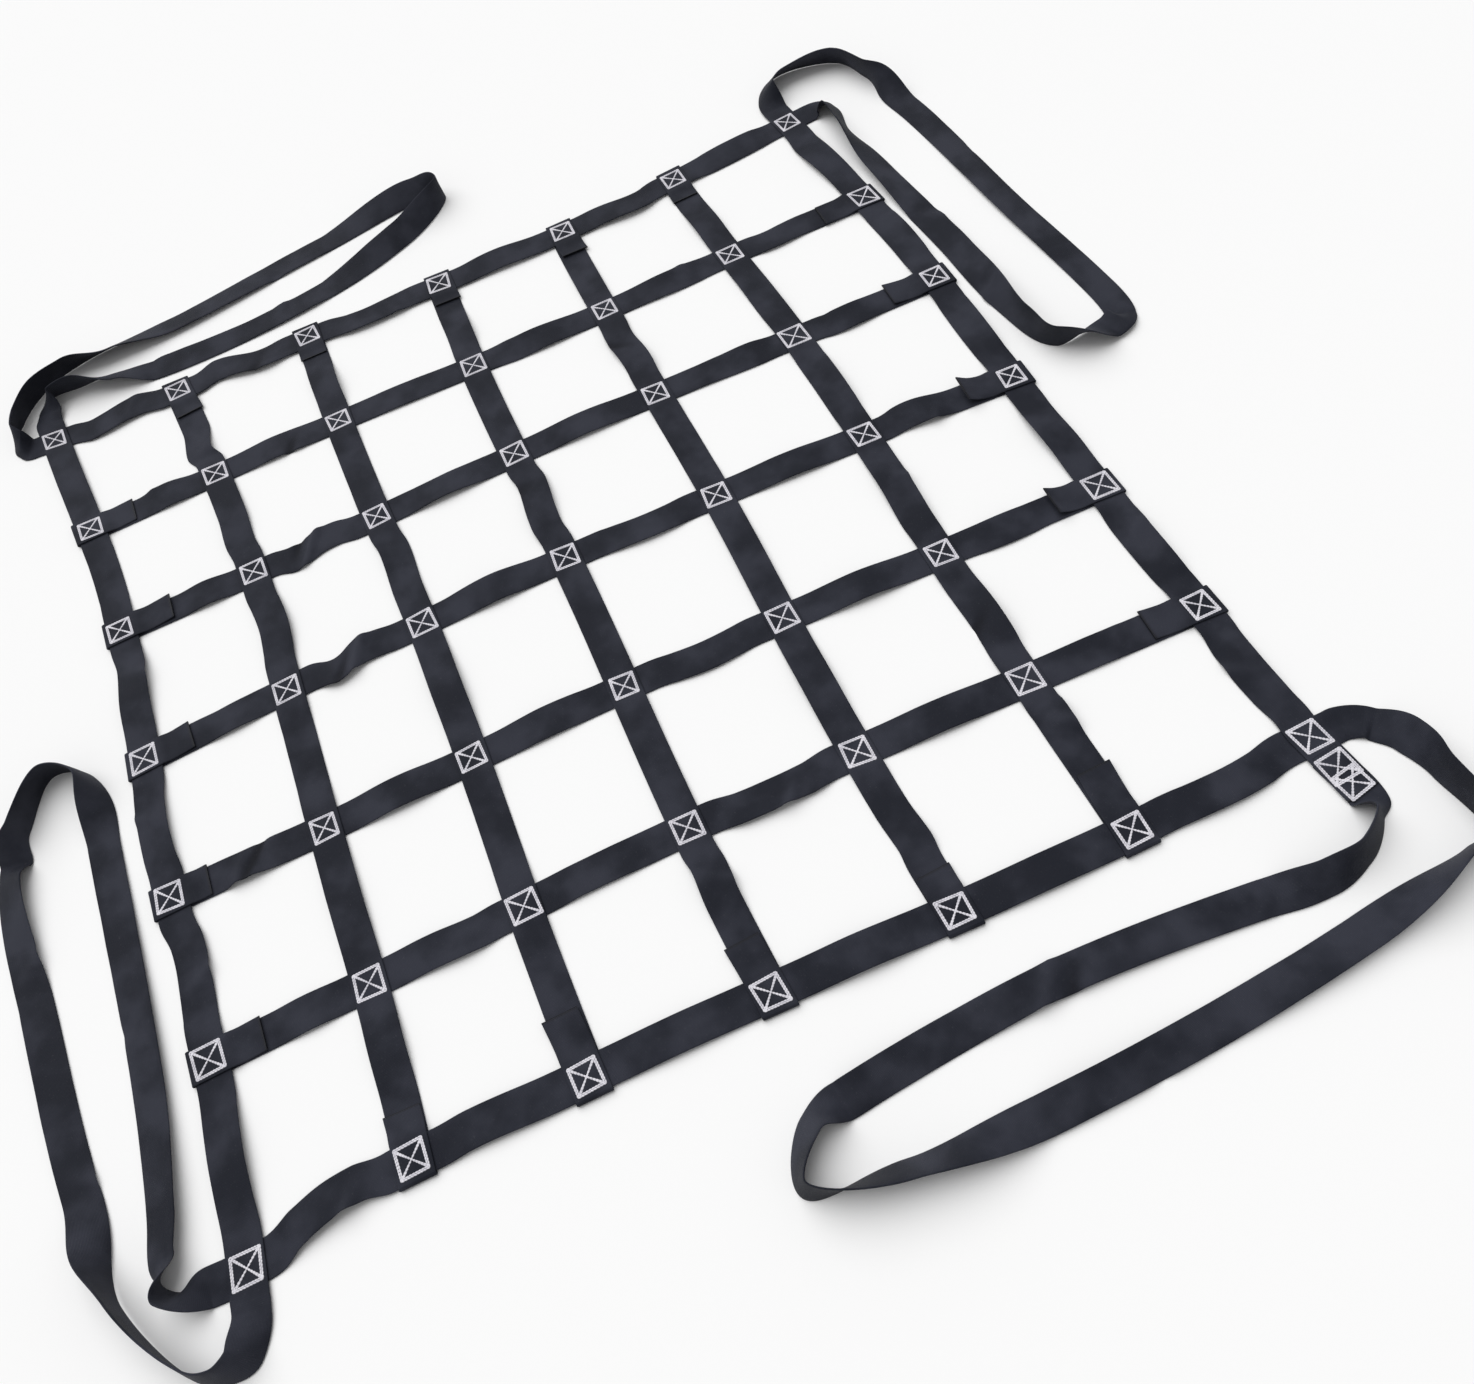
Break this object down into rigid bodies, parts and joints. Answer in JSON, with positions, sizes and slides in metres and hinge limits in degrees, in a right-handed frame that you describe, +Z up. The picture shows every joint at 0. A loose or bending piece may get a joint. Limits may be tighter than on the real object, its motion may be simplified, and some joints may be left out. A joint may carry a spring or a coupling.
{
  "type": "cargo lifting net",
  "caption": "Square cargo lifting net of flat webbing laid out on the ground, straps sewn at every crossing, with a long lifting loop at each corner.",
  "frame": {"origin": "on the ground under the middle crossing of the net", "axes": "+Z up, +X along the rows to the right, +Y along the columns to the far side"},
  "size_m": [1.9831, 2.059, 0.0539],
  "materials": {
    "webbing": "matte",
    "thread": "matte"
  },
  "bodies": {
    "root": {"border_far": "webbing", "border_near": "webbing", "border_left": "webbing", "border_right": "webbing", "row_1": "webbing", "row_2": "webbing", "row_3": "webbing", "row_4": "webbing", "row_5": "webbing", "column_1": "webbing", "column_2": "webbing", "column_3": "webbing", "column_4": "webbing", "column_5": "webbing", "loop_far_left": "webbing", "loop_far_right": "webbing", "loop_near_left": "webbing", "loop_near_right": "webbing"}
  },
  "joints": []
}
